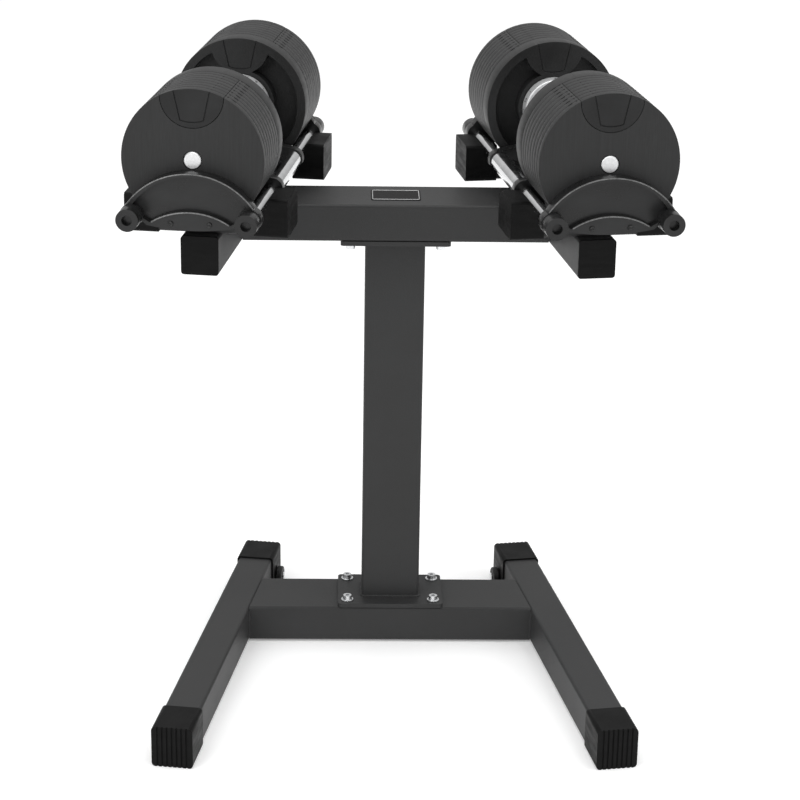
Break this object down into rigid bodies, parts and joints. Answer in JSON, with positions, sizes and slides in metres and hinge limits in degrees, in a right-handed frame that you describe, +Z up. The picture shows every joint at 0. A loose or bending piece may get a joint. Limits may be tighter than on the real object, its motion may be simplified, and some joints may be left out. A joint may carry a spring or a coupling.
{
  "type": "adjustable dumbbell pair on stand",
  "caption": "Pair of twist-select adjustable dumbbells in rod cradles on a splayed-foot steel floor stand; grips turn, selector bars slide, each dumbbell lifts off.",
  "frame": {"origin": "on the floor under the middle of the overall box, which lies in front of the column", "axes": "+Z up, +Y to the rear of the stand, +X to the right seen from the front"},
  "size_m": [0.69, 0.6412, 0.8334],
  "materials": {
    "powder_coat": "fine-textured dark grey powder coat, satin",
    "cap_plastic": "moulded black polyethylene with a fine grain",
    "cradle_plastic": "moulded black plastic, semi-gloss",
    "roller_plastic": "moulded black plastic",
    "chrome": "polished chrome plate",
    "zinc_steel": "bright zinc plate",
    "black_screw": "black oxide",
    "casting_iron": "black painted casting, satin",
    "weight_coating": "black e-coated iron with faint turning marks",
    "insert_coating": "black coated insert, satin",
    "knurled_steel": "chromed with fine diamond knurl",
    "dial_silver": "satin silver with number marks",
    "selector_steel": "bright turned steel",
    "badge": "black plate with a silver border"
  },
  "bodies": {
    "stand": {"base_crossbar": "powder_coat", "top_crossbar": "powder_coat", "column": "powder_coat", "column_base_plate": "powder_coat", "column_top_plate": "powder_coat", "frame_bolts": "zinc_steel", "frame_washers": "zinc_steel", "frame_nuts": "zinc_steel", "bar_plugs": "cap_plastic", "badge_plate": "badge", "roller_axles": "zinc_steel", "cradle_rods": "chrome", "rod_sleeves": "chrome", "bracket_screws": "black_screw", "lock_strikes": "zinc_steel", "left_foot_tube": "powder_coat", "left_front_foot_cap": "cap_plastic", "left_rear_foot_cap": "cap_plastic", "left_support_bar": "powder_coat", "left_cross_rests": "powder_coat", "left_rest_blocks": "cap_plastic", "left_rod_knobs": "cradle_plastic", "left_mid_brackets": "cradle_plastic", "left_front_bracket": "cradle_plastic", "left_rear_bracket": "cradle_plastic", "right_foot_tube": "powder_coat", "right_front_foot_cap": "cap_plastic", "right_rear_foot_cap": "cap_plastic", "right_support_bar": "powder_coat", "right_cross_rests": "powder_coat", "right_rest_blocks": "cap_plastic", "right_rod_knobs": "cradle_plastic", "right_mid_brackets": "cradle_plastic", "right_front_bracket": "cradle_plastic", "right_rear_bracket": "cradle_plastic"},
    "left_dumbbell": {"left_front_casting": "casting_iron", "left_rear_casting": "casting_iron", "left_front_plates": "weight_coating", "left_rear_plates": "weight_coating", "left_plate_inserts": "insert_coating"},
    "left_handle": {"left_grip": "knurled_steel", "left_dial_rings": "dial_silver", "left_selector_spindle": "zinc_steel"},
    "left_front_selector": {"left_front_selector_bar": "selector_steel"},
    "left_rear_selector": {"left_rear_selector_bar": "selector_steel"},
    "left_lock": {"left_lock_plunger": "zinc_steel"},
    "left_transport_roller": {"left_roller": "roller_plastic"},
    "right_dumbbell": {"right_front_casting": "casting_iron", "right_rear_casting": "casting_iron", "right_front_plates": "weight_coating", "right_rear_plates": "weight_coating", "right_plate_inserts": "insert_coating"},
    "right_handle": {"right_grip": "knurled_steel", "right_dial_rings": "dial_silver", "right_selector_spindle": "zinc_steel"},
    "right_front_selector": {"right_front_selector_bar": "selector_steel"},
    "right_rear_selector": {"right_rear_selector_bar": "selector_steel"},
    "right_lock": {"right_lock_plunger": "zinc_steel"},
    "right_transport_roller": {"right_roller": "roller_plastic"}
  },
  "joints": [
    {"name": "left_dumbbell_lift", "type": "slide", "parent": "stand", "child": "left_dumbbell", "axis": [0, 0, 1], "range_m": [0, 0.25]},
    {"name": "left_grip_twist", "type": "hinge", "parent": "left_dumbbell", "child": "left_handle", "pos_m": [-0.22092, 0.04908, 0.74538], "axis": [0.1461, 0.9893, 0], "range_deg": [0, 288]},
    {"name": "left_front_selector_slide", "type": "slide", "parent": "left_dumbbell", "child": "left_front_selector", "axis": [0.1461, 0.9893, 0], "range_m": [0, 0.088]},
    {"name": "left_rear_selector_slide", "type": "slide", "parent": "left_dumbbell", "child": "left_rear_selector", "axis": [-0.1461, -0.9893, 0], "range_m": [0, 0.088]},
    {"name": "left_lock_push", "type": "slide", "parent": "left_dumbbell", "child": "left_lock", "axis": [0, 0, 1], "range_m": [0, 0.005], "stiffness_N_per_m": 300, "springref_m": -0.003},
    {"name": "left_roller_spin", "type": "hinge", "parent": "stand", "child": "left_transport_roller", "pos_m": [-0.15856, 0.23539, 0.016], "axis": [0.9871, -0.1599, 0], "continuous": true},
    {"name": "right_dumbbell_lift", "type": "slide", "parent": "stand", "child": "right_dumbbell", "axis": [0, 0, 1], "range_m": [0, 0.25]},
    {"name": "right_grip_twist", "type": "hinge", "parent": "right_dumbbell", "child": "right_handle", "pos_m": [0.22092, 0.04908, 0.74538], "axis": [-0.1461, 0.9893, 0], "range_deg": [0, 288]},
    {"name": "right_front_selector_slide", "type": "slide", "parent": "right_dumbbell", "child": "right_front_selector", "axis": [-0.1461, 0.9893, 0], "range_m": [0, 0.088]},
    {"name": "right_rear_selector_slide", "type": "slide", "parent": "right_dumbbell", "child": "right_rear_selector", "axis": [0.1461, -0.9893, 0], "range_m": [0, 0.088]},
    {"name": "right_lock_push", "type": "slide", "parent": "right_dumbbell", "child": "right_lock", "axis": [0, 0, 1], "range_m": [0, 0.005], "stiffness_N_per_m": 300, "springref_m": -0.003},
    {"name": "right_roller_spin", "type": "hinge", "parent": "stand", "child": "right_transport_roller", "pos_m": [0.15856, 0.23539, 0.016], "axis": [0.9871, 0.1599, 0], "continuous": true}
  ],
  "couplings": [
    {"joint": "left_front_selector_slide", "follows": "left_grip_twist", "m_per_rad": 0.0175},
    {"joint": "left_rear_selector_slide", "follows": "left_grip_twist", "m_per_rad": 0.0175},
    {"joint": "right_front_selector_slide", "follows": "right_grip_twist", "m_per_rad": 0.0175},
    {"joint": "right_rear_selector_slide", "follows": "right_grip_twist", "m_per_rad": 0.0175}
  ]
}
